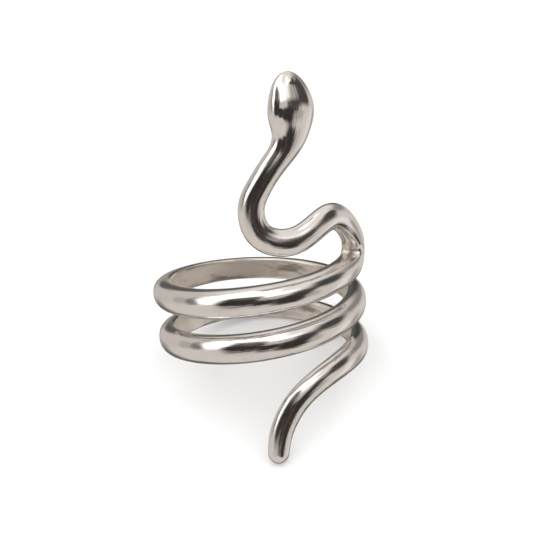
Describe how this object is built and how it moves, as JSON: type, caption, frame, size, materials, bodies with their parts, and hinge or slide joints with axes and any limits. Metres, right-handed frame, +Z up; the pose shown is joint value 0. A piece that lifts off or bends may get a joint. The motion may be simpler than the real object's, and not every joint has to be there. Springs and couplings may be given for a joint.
{
  "type": "snake wrap ring",
  "caption": "Polished silver finger ring shaped as a snake that coils round the finger, with a curled tail below and an S-bent neck and smooth head above.",
  "frame": {"origin": "centre of the bounding box's footprint, on the surface that the ring rests on", "axes": "+Z up; the snake's front faces -Y; the finger hole's axis leans back from +Z towards +Y; +X is to the right seen from the front"},
  "size_m": [0.0212, 0.0246, 0.0343],
  "materials": {
    "silver": "polished sterling silver, lightly worn"
  },
  "bodies": {
    "root": {"snake_ring": "silver"}
  },
  "joints": []
}
